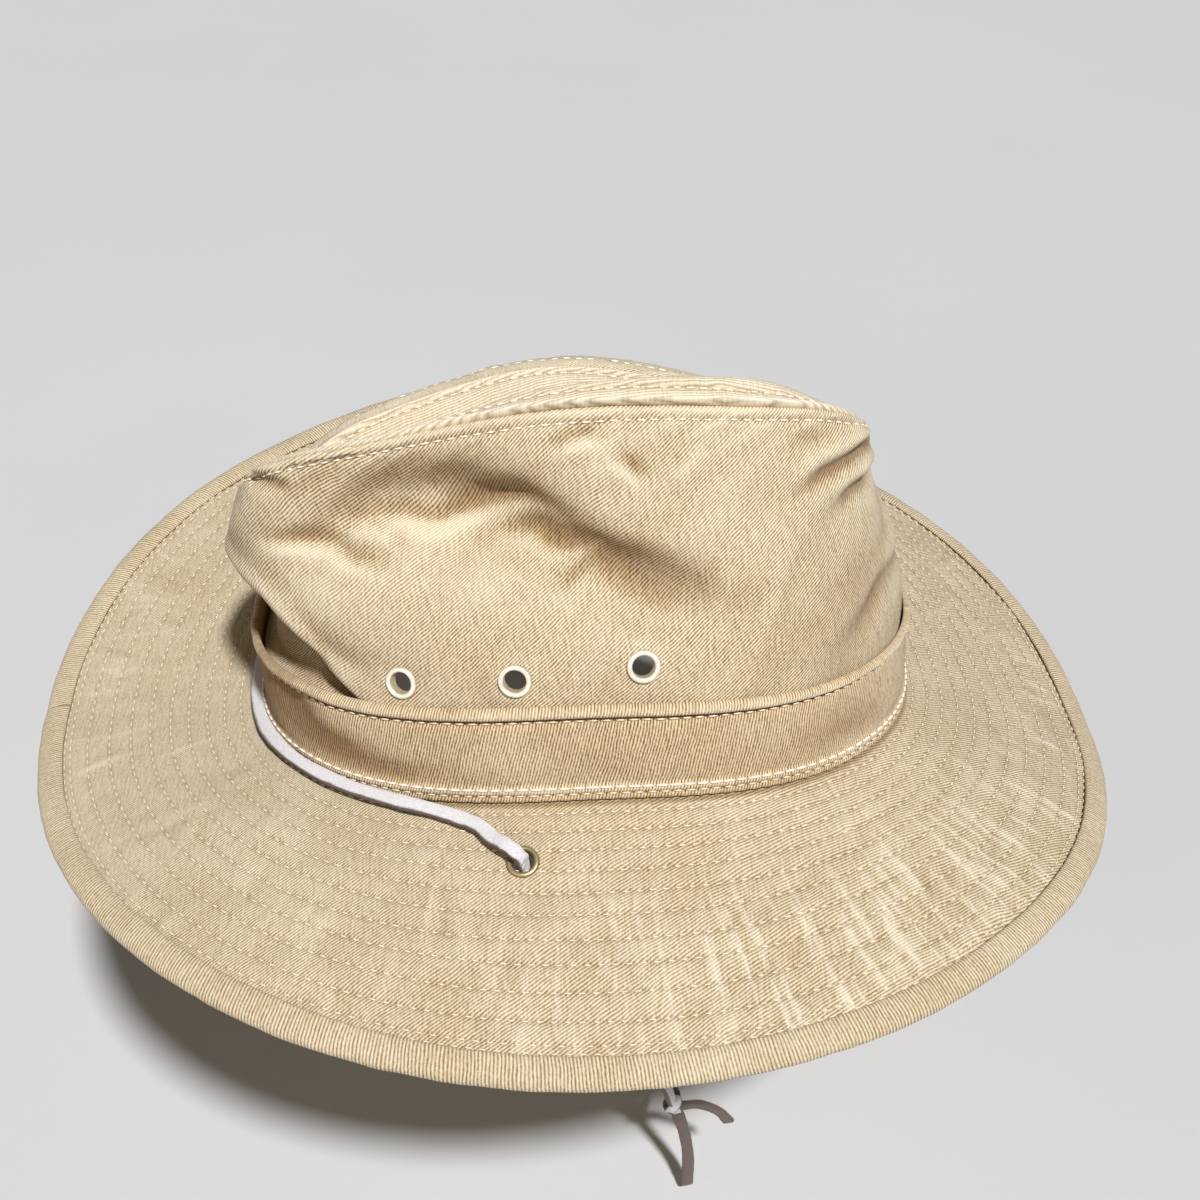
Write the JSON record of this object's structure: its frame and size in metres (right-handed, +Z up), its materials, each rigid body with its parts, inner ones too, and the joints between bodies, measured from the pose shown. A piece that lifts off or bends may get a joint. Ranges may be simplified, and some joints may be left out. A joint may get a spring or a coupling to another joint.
{
  "type": "safari hat",
  "caption": "Cotton twill safari hat with a creased soft crown, a hat band, a row-stitched brim with a bound edge, vent eyelets and a knotted suede chin cord.",
  "frame": {"origin": "middle of the head opening, at the mean height of the seam of crown and brim", "axes": "+Z up, -Y towards the front of the hat, +X towards the wearer's left"},
  "size_m": [0.3138, 0.3496, 0.3093],
  "materials": {
    "crown_twill": "matte cotton twill",
    "band_twill": "matte cotton twill",
    "brim_twill": "matte stitched cotton twill",
    "binding_twill": "matte cotton twill tape",
    "vent_metal": "pale polished plating",
    "old_brass": "dull aged brass",
    "pale_suede": "matte suede lace"
  },
  "bodies": {
    "root": {"crown_side": "crown_twill", "crown_tip": "crown_twill", "hat_band": "band_twill", "brim": "brim_twill", "brim_binding": "binding_twill", "vent_eyelet_right_front": "vent_metal", "vent_eyelet_right_middle": "vent_metal", "vent_eyelet_right_back": "vent_metal", "vent_eyelet_left_front": "vent_metal", "vent_eyelet_left_middle": "vent_metal", "vent_eyelet_left_back": "vent_metal", "cord_eyelet_right": "old_brass", "cord_eyelet_left": "old_brass", "chin_cord": "pale_suede", "chin_knot": "pale_suede"}
  },
  "joints": []
}
